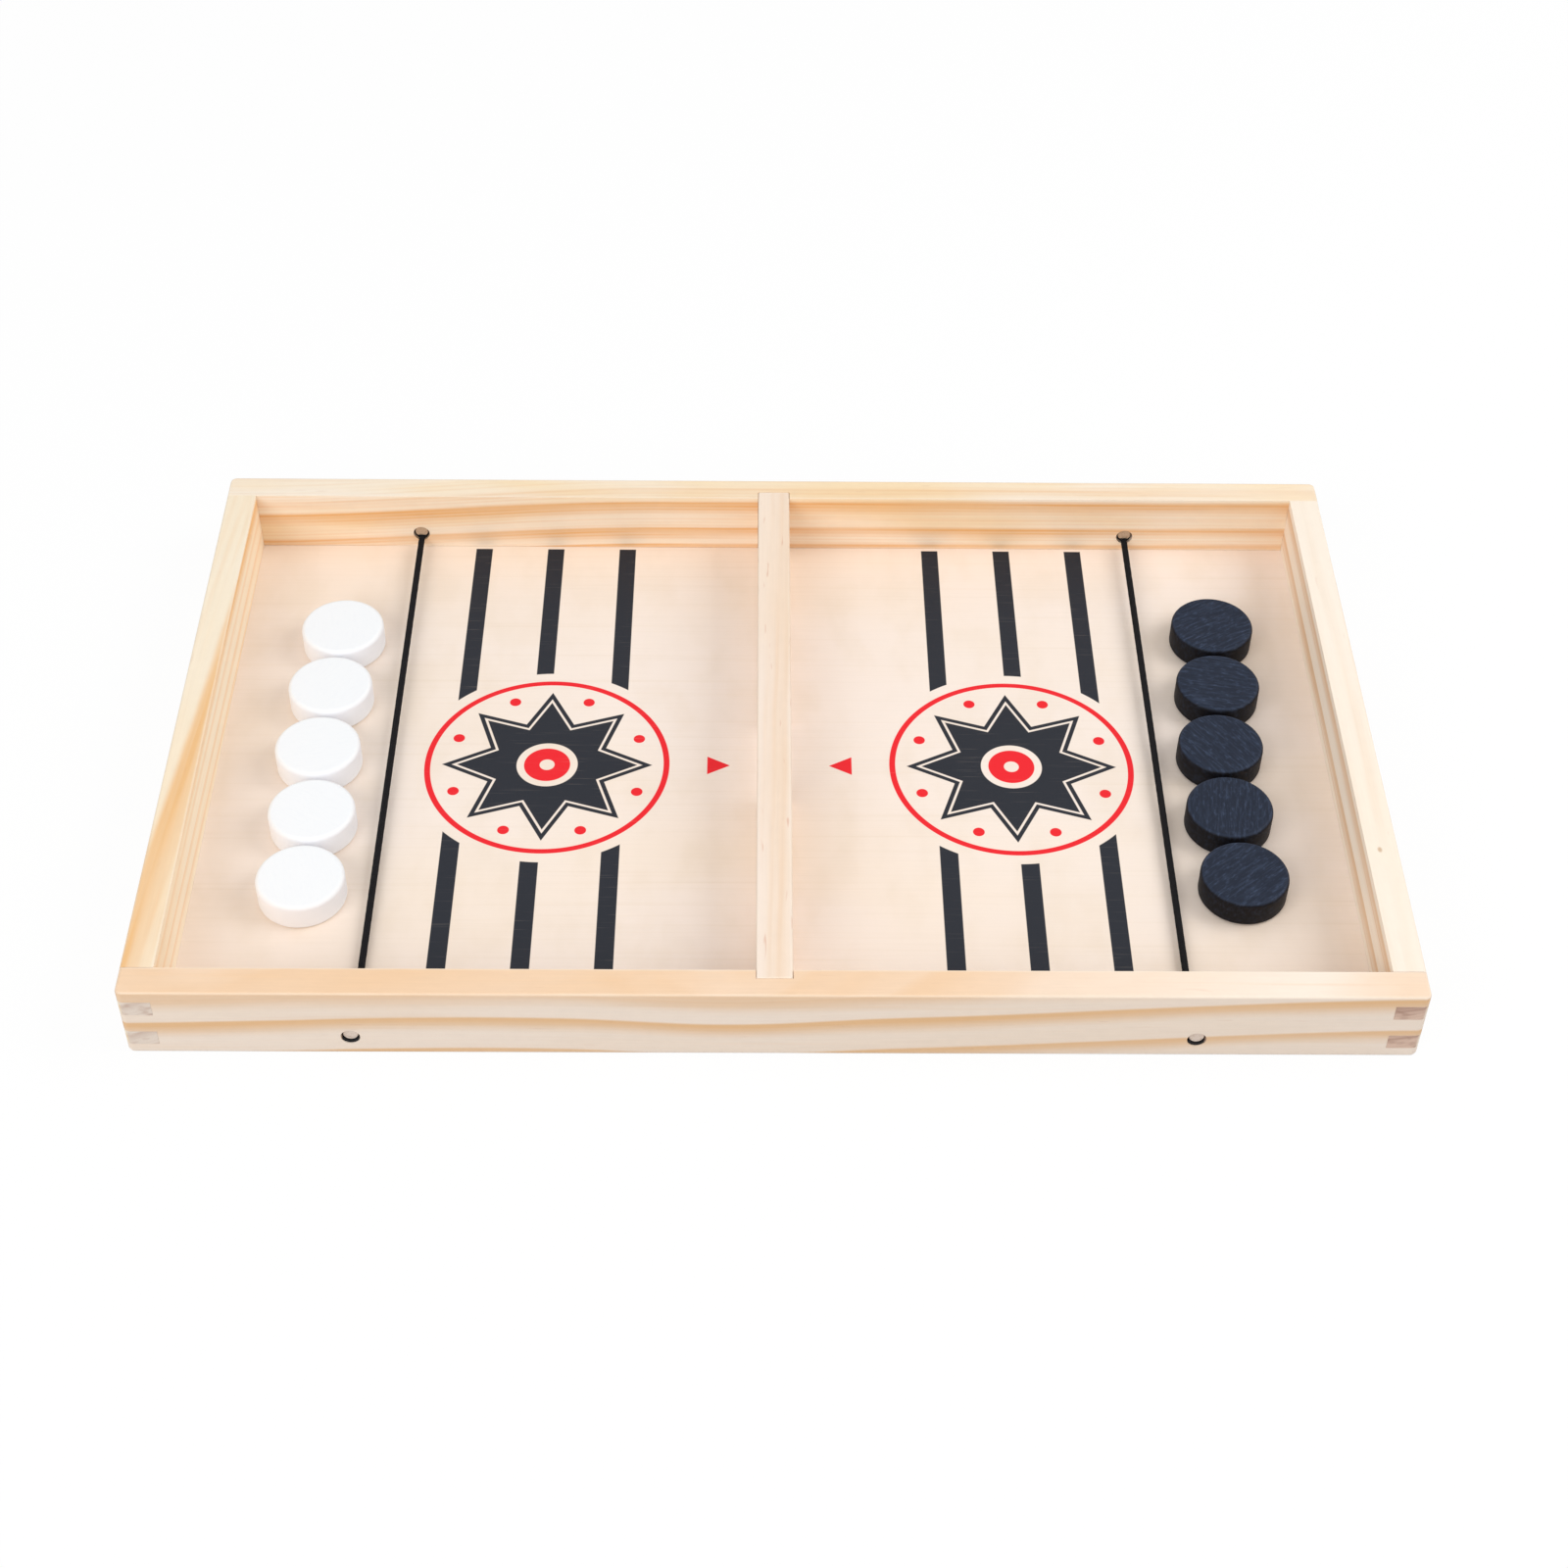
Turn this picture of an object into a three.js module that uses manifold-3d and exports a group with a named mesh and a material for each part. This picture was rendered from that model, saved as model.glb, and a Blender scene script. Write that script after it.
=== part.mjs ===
// Sling puck board game: a shallow wooden tray with a gated divider, two elastic cords and ten pucks.
// Millimetres. +X runs along the tray, +Y to the back rail and +Z up. The origin is the middle of the
// tray's underside. White pucks stand at the -X end, black ones at the +X end.

import * as THREE from 'three';
import { mergeVertices } from 'three/addons/utils/BufferGeometryUtils.js';
import Module from 'manifold-3d';

const wasm = await Module();
wasm.setup();

// Tray frame: four rails, finger jointed at the corners
const trayLength = 345;
const trayDepth = 215;
const railHeight = 24;
const railThickness = 9;
const cornerRadius = 2;
const arrisRadius = 0.8;
// Lower and upper edge of each finger of an end rail, from the underside up, as shares of the rail height
const fingerEdgeShares = [[0.142, 0.358], [0.63, 0.846]];

// Plywood playing board, let into a rebate round the lower inside edge of the rails
const boardThickness = 3;
const boardRecess = 0.5;
const rebateDepth = 4.5;

// Divider across the middle, housed in a slot in each long rail
const dividerThickness = 9.8;
const dividerArris = 0.4;
const housingDepth = 3;
const gateSideRoom = 6;
const gateHeadRoom = 3.5;
const gateShift = -1;

// Pucks, five a side, in a loose row behind each cord
const puckDiameter = 25;
const puckThickness = 8.5;
const puckEdgeRadius = 1.3;
const puckSpacing = 1.2;
const puckToCordRoom = 7.5;
const pucksPerSide = 5;
// How far each row stands off the tray's middle line, towards the back
const whiteRowShift = -1.9;
const blackRowShift = 0.7;
// How far each puck stands behind its row, from the back of the tray to the front, as shares of the diameter
const whiteScatterShares = [-0.02, 0.01, 0.036, -0.02, -0.02];
const blackScatterShares = [0.1, 0.048, -0.044, -0.064, -0.024];

// Elastic cords and the dowel pegs that pinch their ends in the rails
const cordFromEnd = 60;
const cordDiameter = 2;
const holeDiameter = 5.2;
const frontHoleLift = 0.5;
const backHoleLift = 2.7;
const pegOuterInset = 0.3;
const pegInnerInset = 0.6;
const pegTaper = 0.1;
const cordTrim = 0.2;

// Fits
const glueLine = 0.05;
const restGap = 0.05;
const pegFit = 0.1;
const cordFit = 0.1;
const bendGap = 0.3;
const cutOverrun = 2;

// Facets
const cornerSegments = 5;
const arrisSegments = 2;
const holeSides = 24;
const cordSides = 8;
const puckSides = 36;
const puckEdgeSteps = 2;

// Sizes that follow from these
const halfLength = trayLength / 2;
const halfDepth = trayDepth / 2;
const innerHalfLength = halfLength - railThickness;
const innerHalfDepth = halfDepth - railThickness;
const boardTop = boardRecess + boardThickness;
const boardHalfLength = innerHalfLength + rebateDepth - glueLine;
const boardHalfDepth = innerHalfDepth + rebateDepth - glueLine;
const fingerEdges = fingerEdgeShares.map((pair) => pair.map((share) => share * railHeight));
const puckRadius = puckDiameter / 2;
const gateWidth = puckDiameter + gateSideRoom;
const gateHeight = puckThickness + gateHeadRoom;
const holeRadius = holeDiameter / 2;
const cordRadius = cordDiameter / 2;
const cordX = halfLength - cordFromEnd;
const rowX = cordX + puckToCordRoom + puckRadius;

// The two long rails differ only in side and in how high the cord holes are drilled
const longRails = [
  { name: 'front', side: -1, holeZ: boardTop + frontHoleLift + holeRadius },
  { name: 'back', side: 1, holeZ: boardTop + backHoleLift + holeRadius },
].map((rail) => ({ ...rail, cordZ: rail.holeZ - holeRadius + cordRadius + cordFit }));
const ends = [
  { name: 'left', side: -1, puck: 'white', rowShift: whiteRowShift, scatterShares: whiteScatterShares },
  { name: 'right', side: 1, puck: 'black', rowShift: blackRowShift, scatterShares: blackScatterShares },
];

const finishes = {
  rail: { color: 0xf0d6b4, roughness: 0.62, metalness: 0 },
  board: { color: 0xf1e2d0, roughness: 0.5, metalness: 0 },
  divider: { color: 0xf6e6d6, roughness: 0.62, metalness: 0 },
  peg: { color: 0xdcbf95, roughness: 0.7, metalness: 0 },
  cord: { color: 0x141216, roughness: 0.85, metalness: 0 },
  white: { color: 0xf6f7fa, roughness: 0.45, metalness: 0 },
  black: { color: 0x2c3038, roughness: 0.5, metalness: 0 },
};

const tray = new THREE.Group();

function addPiece(name, geometry, finish) {
  const mesh = new THREE.Mesh(geometry, new THREE.MeshStandardMaterial(finishes[finish]));
  mesh.name = name;
  tray.add(mesh);
  return mesh;
}

// A closed geometry as a solid that can be cut and joined
function solidOf(geometry) {
  const bare = geometry.index ? geometry.toNonIndexed() : geometry.clone();
  bare.deleteAttribute('normal');
  bare.deleteAttribute('uv');
  const merged = mergeVertices(bare);
  return new wasm.Manifold(new wasm.Mesh({
    numProp: 3,
    vertProperties: new Float32Array(merged.attributes.position.array),
    triVerts: new Uint32Array(merged.index.array),
  }));
}

function geometryOf(solid) {
  const mesh = solid.getMesh();
  const geometry = new THREE.BufferGeometry();
  geometry.setAttribute('position', new THREE.BufferAttribute(mesh.vertProperties, 3));
  geometry.setIndex(new THREE.BufferAttribute(mesh.triVerts, 1));
  geometry.computeVertexNormals();
  return geometry;
}

// A box between two opposite corners
function blockGeometry(low, high) {
  const size = high.map((value, axis) => value - low[axis]);
  const middle = high.map((value, axis) => (value + low[axis]) / 2);
  return new THREE.BoxGeometry(...size).translate(...middle);
}

function block(low, high) {
  return solidOf(blockGeometry(low, high));
}

// A round bar along Y, from one end to the other
function roundBar(radiusFrom, radiusTo, x, z, yFrom, yTo, sides) {
  const bar = new THREE.CylinderGeometry(radiusTo, radiusFrom, yTo - yFrom, sides);
  return solidOf(bar.translate(x, (yFrom + yTo) / 2, z));
}

// The outside of the finished frame: corners rounded, top and bottom edges eased
function frameEnvelope() {
  const outline = new THREE.Shape();
  const x = halfLength - cornerRadius;
  const y = halfDepth - cornerRadius;
  const quarter = Math.PI / 2;
  outline.absarc(x, y, cornerRadius, 0, quarter);
  outline.absarc(-x, y, cornerRadius, quarter, 2 * quarter);
  outline.absarc(-x, -y, cornerRadius, 2 * quarter, 3 * quarter);
  outline.absarc(x, -y, cornerRadius, 3 * quarter, 4 * quarter);
  outline.closePath();
  const slab = new THREE.ExtrudeGeometry(outline, {
    depth: railHeight - 2 * arrisRadius,
    bevelThickness: arrisRadius,
    bevelSize: arrisRadius,
    bevelOffset: -arrisRadius,
    bevelSegments: arrisSegments,
    curveSegments: cornerSegments,
  });
  return solidOf(slab.translate(0, 0, arrisRadius));
}

// The rebate that takes the board, open downwards
function boardPocket() {
  const x = boardHalfLength + glueLine;
  const y = boardHalfDepth + glueLine;
  return block([-x, -y, -cutOverrun], [x, y, boardTop + glueLine]);
}

const envelope = frameEnvelope();
const pocket = boardPocket();

// A long rail keeps its full length at the top, middle and bottom fingers
function longRail(rail) {
  const inner = rail.side * innerHalfDepth;
  const outer = rail.side * halfDepth;
  const low = Math.min(inner, outer);
  const high = Math.max(inner, outer);
  let solid = block([-halfLength, low, 0], [halfLength, high, railHeight]);
  for (const end of ends) {
    const tip = end.side * (halfLength + cutOverrun);
    const root = end.side * (innerHalfLength - glueLine);
    for (const [below, above] of fingerEdges) {
      solid = solid.subtract(block(
        [Math.min(tip, root), low - cutOverrun, below],
        [Math.max(tip, root), high + cutOverrun, above],
      ));
    }
    const hole = roundBar(
      holeRadius, holeRadius, end.side * cordX, rail.holeZ, low - cutOverrun, high + cutOverrun, holeSides,
    );
    solid = solid.subtract(hole);
  }
  const slotX = dividerThickness / 2 + glueLine;
  const slotEnds = [rail.side * (innerHalfDepth - cutOverrun), rail.side * (innerHalfDepth + housingDepth)];
  solid = solid.subtract(block(
    [-slotX, Math.min(...slotEnds), boardTop + glueLine],
    [slotX, Math.max(...slotEnds), railHeight + cutOverrun],
  ));
  return solid.subtract(pocket).intersect(envelope);
}

// An end rail fits between the long rails and reaches the outside only with its two fingers
function endRail(end) {
  const inner = end.side * innerHalfLength;
  const outer = end.side * halfLength;
  const low = Math.min(inner, outer);
  const high = Math.max(inner, outer);
  let solid = block([low, -halfDepth, 0], [high, halfDepth, railHeight]);
  const fingers = fingerEdges.map(([below, above]) => [below + glueLine, above - glueLine]);
  const edges = [-cutOverrun, ...fingers.flat(), railHeight + cutOverrun];
  for (const rail of longRails) {
    const shoulder = rail.side * (innerHalfDepth - glueLine);
    const tip = rail.side * (halfDepth + cutOverrun);
    for (let i = 0; i < edges.length; i += 2) {
      solid = solid.subtract(block(
        [low - cutOverrun, Math.min(shoulder, tip), edges[i]],
        [high + cutOverrun, Math.max(shoulder, tip), edges[i + 1]],
      ));
    }
  }
  return solid.subtract(pocket).intersect(envelope);
}

// The divider stands on the board, flush with the rails, with the gate cut through its lower edge
function dividerGeometry() {
  const halfSpan = innerHalfDepth + housingDepth - glueLine;
  const foot = boardTop + glueLine;
  const gateTop = foot + gateHeight;
  const gateFront = gateShift - gateWidth / 2;
  const gateBack = gateShift + gateWidth / 2;
  const side = new THREE.Shape([
    [-halfSpan, foot],
    [gateFront, foot],
    [gateFront, gateTop],
    [gateBack, gateTop],
    [gateBack, foot],
    [halfSpan, foot],
    [halfSpan, railHeight],
    [-halfSpan, railHeight],
  ].map(([y, z]) => new THREE.Vector2(y, z)));
  const plank = new THREE.ExtrudeGeometry(side, {
    depth: dividerThickness - 2 * dividerArris,
    bevelThickness: dividerArris,
    bevelSize: dividerArris,
    bevelOffset: -dividerArris,
    bevelSegments: 1,
  });
  // The outline was drawn with Y across and Z up, so it is turned to stand across the tray
  plank.rotateX(Math.PI / 2).rotateZ(Math.PI / 2);
  return plank.translate(dividerArris - dividerThickness / 2, 0, 0);
}

// A puck: a flat disc with rounded rims
function puckGeometry() {
  const profile = [new THREE.Vector2(0, 0)];
  const rim = puckRadius - puckEdgeRadius;
  const quarter = Math.PI / 2;
  for (const [height, start] of [[puckEdgeRadius, -quarter], [puckThickness - puckEdgeRadius, 0]]) {
    for (let step = 0; step <= puckEdgeSteps; step += 1) {
      const angle = start + (quarter * step) / puckEdgeSteps;
      profile.push(new THREE.Vector2(
        rim + puckEdgeRadius * Math.cos(angle),
        height + puckEdgeRadius * Math.sin(angle),
      ));
    }
  }
  profile.push(new THREE.Vector2(0, puckThickness));
  return new THREE.LatheGeometry(profile, puckSides).rotateX(Math.PI / 2);
}

// A straight stretch of cord between two points
function cordGeometry(from, to) {
  const section = new THREE.Shape();
  section.absarc(0, 0, cordRadius, 0, 2 * Math.PI);
  const path = new THREE.LineCurve3(from, to);
  return new THREE.ExtrudeGeometry(section, {
    extrudePath: path,
    steps: 1,
    curveSegments: cordSides / 2,
  });
}

// One cord: a pinched end in each long rail and two free halves that meet in the middle
function addCord(end) {
  const x = end.side * cordX;
  const mouths = longRails.map((rail) => new THREE.Vector3(x, rail.side * innerHalfDepth, rail.cordZ));
  const middle = mouths[0].clone().add(mouths[1]).multiplyScalar(1 / 2);
  longRails.forEach((rail, i) => {
    const mouth = mouths[i];
    const cutEnd = new THREE.Vector3(x, rail.side * (halfDepth - cordTrim), rail.cordZ);
    addPiece(`${end.name}_cord_${rail.name}_anchor`, cordGeometry(cutEnd, mouth), 'cord');
    const run = middle.clone().sub(mouth).normalize();
    const start = mouth.clone().addScaledVector(run, bendGap);
    const stop = middle.clone().addScaledVector(run, -bendGap / 2);
    addPiece(`${end.name}_cord_${rail.name}_half`, cordGeometry(start, stop), 'cord');
  });
}

// A tapered dowel peg, grooved underneath where it pinches the cord
function pegGeometry(end, rail) {
  const x = end.side * cordX;
  const outer = rail.side * (halfDepth - pegOuterInset);
  const inner = rail.side * (innerHalfDepth + pegInnerInset);
  const radius = holeRadius - pegFit;
  const radii = rail.side > 0 ? [radius - pegTaper, radius] : [radius, radius - pegTaper];
  const [from, to] = [Math.min(outer, inner), Math.max(outer, inner)];
  const peg = roundBar(...radii, x, rail.holeZ, from, to, holeSides);
  const grooveRadius = (cordRadius + cordFit) / Math.cos(Math.PI / holeSides);
  const groove = roundBar(
    grooveRadius, grooveRadius, x, rail.cordZ, from - cutOverrun, to + cutOverrun, holeSides,
  );
  return geometryOf(peg.subtract(groove));
}

function addPucks(end) {
  const puck = puckGeometry();
  const pitch = puckDiameter + puckSpacing;
  for (let i = 0; i < pucksPerSide; i += 1) {
    const disc = addPiece(`${end.puck}_puck_${i + 1}`, puck, end.puck);
    const behind = end.scatterShares[i] * puckDiameter;
    disc.position.set(
      end.side * (rowX + behind),
      end.rowShift + pitch * ((pucksPerSide - 1) / 2 - i),
      boardTop + restGap,
    );
  }
}

longRails.forEach((rail) => addPiece(`${rail.name}_rail`, geometryOf(longRail(rail)), 'rail'));
ends.forEach((end) => addPiece(`${end.name}_rail`, geometryOf(endRail(end)), 'rail'));
addPiece('playing_board', blockGeometry(
  [-boardHalfLength, -boardHalfDepth, boardRecess],
  [boardHalfLength, boardHalfDepth, boardTop],
), 'board');
addPiece('divider', dividerGeometry(), 'divider');
for (const end of ends) {
  addCord(end);
  longRails.forEach((rail) => addPiece(`${end.name}_${rail.name}_peg`, pegGeometry(end, rail), 'peg'));
  addPucks(end);
}

export default tray;
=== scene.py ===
"""Looks of the sling puck board game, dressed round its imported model.

Everything is in metres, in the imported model's frame: +X runs along the tray, +Y to the back rail and +Z
up, and the origin is the middle of the tray's underside. White pucks stand at the -X end.
"""

from __future__ import annotations

import logging
import math
from dataclasses import dataclass
from enum import Enum
from typing import Any, Callable, Sequence

import bmesh
import bpy
from mathutils import Color, Matrix, Vector


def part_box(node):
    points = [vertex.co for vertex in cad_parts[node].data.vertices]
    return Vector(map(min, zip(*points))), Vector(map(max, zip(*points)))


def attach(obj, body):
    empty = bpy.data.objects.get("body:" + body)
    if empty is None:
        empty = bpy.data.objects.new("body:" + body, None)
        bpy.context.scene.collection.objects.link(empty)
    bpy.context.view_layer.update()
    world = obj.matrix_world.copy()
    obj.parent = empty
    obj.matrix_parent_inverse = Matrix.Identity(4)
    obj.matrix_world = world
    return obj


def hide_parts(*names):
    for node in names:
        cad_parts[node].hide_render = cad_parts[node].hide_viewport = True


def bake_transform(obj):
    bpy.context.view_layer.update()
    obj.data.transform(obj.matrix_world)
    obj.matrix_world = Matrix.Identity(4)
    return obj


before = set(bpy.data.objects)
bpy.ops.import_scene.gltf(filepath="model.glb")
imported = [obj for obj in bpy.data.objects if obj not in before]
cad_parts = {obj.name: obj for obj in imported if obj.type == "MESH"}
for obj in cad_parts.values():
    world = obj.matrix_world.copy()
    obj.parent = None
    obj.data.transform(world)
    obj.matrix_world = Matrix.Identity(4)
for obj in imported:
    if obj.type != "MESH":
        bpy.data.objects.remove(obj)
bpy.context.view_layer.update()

log = logging.getLogger("sling_puck_board")

MM = 0.001
WELD = 1e-6
TURN = 2 * math.pi
BODY = "tray"
Span = tuple[float, float]
Point = tuple[float, float, float]
Rgba = tuple[float, float, float, float]
Socket = bpy.types.NodeSocket
Piece = bpy.types.Object
Material = bpy.types.Material


def colour(text: str) -> Rgba:
    """Turns a screen colour such as "#F6DDBA" into linear light, with an alpha of one."""
    screen = Color([int(text[i : i + 2], 16) / 255 for i in (1, 3, 5)])
    return (*screen.from_srgb_to_scene_linear(), 1.0)


# Node trees


def operator(operation: str, swapped: bool = False) -> Callable[..., Value]:
    """Makes a method of a value that adds one Math node.

    Args:
        operation: What the node does.
        swapped: Whether the value comes second, as the mask does in 1 - mask.

    Returns:
        The method, which takes the other number where there is one.
    """

    def method(self: Value, *others: Number) -> Value:
        """Adds the node."""
        operands = (*others, self) if swapped else (self, *others)
        return self.tree.math(operation, *operands)

    return method


@dataclass(frozen=True)
class Value:
    """A number in a node tree, on which Python's operators and these methods add nodes."""

    tree: Tree
    socket: Socket

    __add__ = __radd__ = operator("ADD")
    __sub__ = operator("SUBTRACT")
    __rsub__ = operator("SUBTRACT", swapped=True)
    __mul__ = __rmul__ = operator("MULTIPLY")
    __truediv__ = operator("DIVIDE")
    __mod__ = operator("FLOORED_MODULO")
    __abs__ = operator("ABSOLUTE")
    floor = operator("FLOOR")
    root = operator("SQRT")
    sine = operator("SINE")
    cosine = operator("COSINE")
    least = operator("MINIMUM")
    most = operator("MAXIMUM")

    def rise(self, low: float, high: float) -> Value:
        """Climbs smoothly from nought at low to one at high.

        Args:
            low: The number that gives nought.
            high: The number that gives one, above low.

        Returns:
            A mask from nought to one.
        """
        limits = {"Value": self, "From Min": low, "From Max": high}
        step = self.tree.out("ShaderNodeMapRange", limits, interpolation_type="SMOOTHSTEP")
        return Value(self.tree, step)

    def under(self, edge: Number, soft: float) -> Value:
        """Is one where this is under an edge and nought above it, with a soft step between."""
        return (edge - self).rise(-soft, soft)

    def vary(self, base: float, swing: float) -> Value:
        """Turns a pattern into a factor: the base where it is nought, a swing more where it is one."""
        return self * swing + base


Number = Value | float
Inputs = dict[str | int, Any]


def weigh(values: Sequence[Value], shares: Sequence[float], base: Number = 0.0) -> Number:
    """Adds to a base each value times its share.

    Args:
        values: The values.
        shares: The share of each.
        base: What there is without them.

    Returns:
        The sum.
    """
    for value, share in zip(values, shares):
        base = value * share + base
    return base


class Tree:
    """A shader or geometry node tree, with one method that adds any node to it."""

    def __init__(self, tree: bpy.types.NodeTree) -> None:
        """Wraps a node tree."""
        self.tree = tree

    def node(self, kind: str, inputs: Inputs | None = None, **settings: Any) -> bpy.types.Node:
        """Adds a node.

        Args:
            kind: The node's type.
            inputs: A value or a link for each of its sockets, by name or number.
            settings: Its own settings, which are made first.

        Returns:
            The new node.
        """
        node = self.tree.nodes.new(kind)
        for name, value in settings.items():
            setattr(node, name, value)
        for key, value in (inputs or {}).items():
            self.feed(node.inputs[key], value)
        return node

    def out(self, kind: str, inputs: Inputs | None = None, **settings: Any) -> Socket:
        """Adds a node and gives its first output."""
        return self.node(kind, inputs, **settings).outputs[0]

    def feed(self, socket: Socket, value: Any) -> None:
        """Links an output to a socket, or sets the socket's own value.

        Args:
            socket: The input.
            value: A wrapped number, an output or a plain value.
        """
        if isinstance(value, Value):
            value = value.socket
        if isinstance(value, Socket):
            self.tree.links.new(value, socket)
        else:
            socket.default_value = value

    def math(self, operation: str, *operands: Number) -> Value:
        """Adds a Math node on one or two numbers."""
        return Value(self, self.out("ShaderNodeMath", dict(enumerate(operands)), operation=operation))

    def vector_math(self, operation: str, inputs: Inputs) -> Socket:
        """Adds a Vector Math node."""
        return self.out("ShaderNodeVectorMath", inputs, operation=operation)

    def vector(self, x: Number, y: Number, z: Number) -> Socket:
        """Joins three numbers into a vector."""
        return self.out("ShaderNodeCombineXYZ", {0: x, 1: y, 2: z})

    def parts(self, vector: Socket) -> list[Value]:
        """Splits a vector into its three numbers."""
        return [Value(self, output) for output in self.node("ShaderNodeSeparateXYZ", {0: vector}).outputs]

    def mix(self, share: Number, first: Any, second: Any) -> Socket:
        """Mixes two colours: the first where the share is nought, the second where it is one."""
        inputs = {0: share, 6: first, 7: second}
        return self.node("ShaderNodeMix", inputs, data_type="RGBA", clamp_factor=True).outputs[2]

    def coat(self, paint: Any, *layers: tuple[Number, str]) -> Socket:
        """Lays screen colours over a paint, one after another.

        Args:
            paint: What is underneath.
            layers: The share of each colour, from nought to one, and the colour.

        Returns:
            The mixed colour.
        """
        for share, text in layers:
            paint = self.mix(share, paint, colour(text))
        return paint

    def shade(self, paint: Socket, level: Number) -> Socket:
        """Multiplies a colour by a number.

        Args:
            paint: The colour.
            level: The number, such as 0.9 to darken it by a tenth.

        Returns:
            The shaded colour.
        """
        grey = self.out("ShaderNodeCombineColor", {0: level, 1: level, 2: level})
        inputs = {0: 1.0, 6: paint, 7: grey}
        return self.node("ShaderNodeMix", inputs, data_type="RGBA", blend_type="MULTIPLY").outputs[2]


class Surface(Tree):
    """The shader tree of one new material."""

    def __init__(self, name: str) -> None:
        """Starts a material with nothing but its output.

        Args:
            name: The material's name.
        """
        self.material = bpy.data.materials.new(name)
        self.material.use_nodes = True
        super().__init__(self.material.node_tree)
        self.tree.nodes.clear()
        self.output = self.tree.nodes.new("ShaderNodeOutputMaterial")

    def place(self) -> list[Value]:
        """Gives the three coordinates of a point, in metres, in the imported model's frame."""
        return self.parts(self.node("ShaderNodeTexCoord").outputs["Object"])

    def facing(self) -> list[Value]:
        """Gives the three parts of the direction that the surface faces."""
        return self.parts(self.node("ShaderNodeNewGeometry").outputs["Normal"])

    def finish(self, paint: Socket, rough: Number, height: Number, relief: float, shine: float) -> Material:
        """Ends the tree in one shader.

        Args:
            paint: The base colour.
            rough: The roughness.
            height: What the bump follows, from nought to one.
            relief: How deep the bump is, in metres.
            shine: The specular level, the same all over.

        Returns:
            The finished material.
        """
        bump = self.out("ShaderNodeBump", {"Height": height, "Distance": relief, "Strength": 1.0})
        inputs = {"Base Color": paint, "Roughness": rough, "Specular IOR Level": shine, "Normal": bump}
        self.feed(self.output.inputs["Surface"], self.out("ShaderNodeBsdfPrincipled", inputs))
        return self.material


# Finishes


@dataclass(frozen=True)
class Pattern:
    """Noise: its cells to a metre each way, its finer layers, and where its mask starts and ends."""

    cells: Point
    detail: float = 2.0
    low: float = 0.0
    high: float = 1.0
    rough: float = 0.5
    seeded: int = 0
    start: float = 0.0

    def read(self, tree: Tree, place: Sequence[Number], seed: Number = 0.0) -> Value:
        """Reads the noise at a point.

        Args:
            tree: The tree that needs it.
            place: The point.
            seed: A shift along the seeded coordinate, in cells, instead of the pattern's own start.

        Returns:
            A number from nought to one, about a half on average.
        """
        spot = [part * cells for part, cells in zip(place, self.cells)]
        if seed or self.start:
            spot[self.seeded] = spot[self.seeded] + (seed or self.start)
        inputs = {"Vector": tree.vector(*spot), "Scale": 1.0, "Detail": self.detail, "Roughness": self.rough}
        return Value(tree, tree.node("ShaderNodeTexNoise", inputs).outputs["Fac"])

    def cut(self, level: Value) -> Value:
        """Turns a reading into the pattern's mask."""
        return level.rise(self.low, self.high)

    def mask(self, tree: Tree, place: Sequence[Number], seed: Number = 0.0) -> Value:
        """Reads the pattern's mask at a point."""
        return self.cut(self.read(tree, place, seed))


class Grain(Enum):
    """The way that the fibres of a piece of wood run."""

    ALONG_TRAY = 0
    ACROSS_TRAY = 1


@dataclass(frozen=True)
class Ring:
    """A layer of dark late wood: sharp on its upper side and fading into pale wood below."""

    level: float
    fade: float
    strength: float


@dataclass(frozen=True)
class Swell:
    """A place along a plank where its rings rise, or dip where the height is negative."""

    middle: float
    reach: float
    height: float


@dataclass(frozen=True)
class Skim:
    """Late wood that the saw skimmed along a stretch of a plank's top."""

    start: float
    end: float
    strength: float
    fade: float = 12 * MM
    above: float = 23.2 * MM


@dataclass(frozen=True)
class PinKnot:
    """A tiny knot on a plank's top."""

    x: float
    y: float
    radius: float = 0.9 * MM
    squash: float = 0.4
    heart: float = 0.3

    def mask(self, x: Value, y: Value) -> Value:
        """Masks the knot.

        Args:
            x: Distance along the tray.
            y: Distance towards the back rail.

        Returns:
            One at the knot's heart, falling to nought at its rim.
        """
        aside = x - self.x
        above = y - self.y
        away = (aside * aside + above * above * self.squash).root()
        return 1 - (away / self.radius).rise(self.heart, 1.0)


def rings(*layers: Point) -> tuple[Ring, ...]:
    """Makes rings, each from its level and fade in millimetres and its strength."""
    return tuple(Ring(level * MM, fade * MM, strength) for level, fade, strength in layers)


def swells(*places: Point) -> tuple[Swell, ...]:
    """Makes swells, each from its middle, reach and height in millimetres."""
    return tuple(Swell(middle * MM, reach * MM, height * MM) for middle, reach, height in places)


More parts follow.
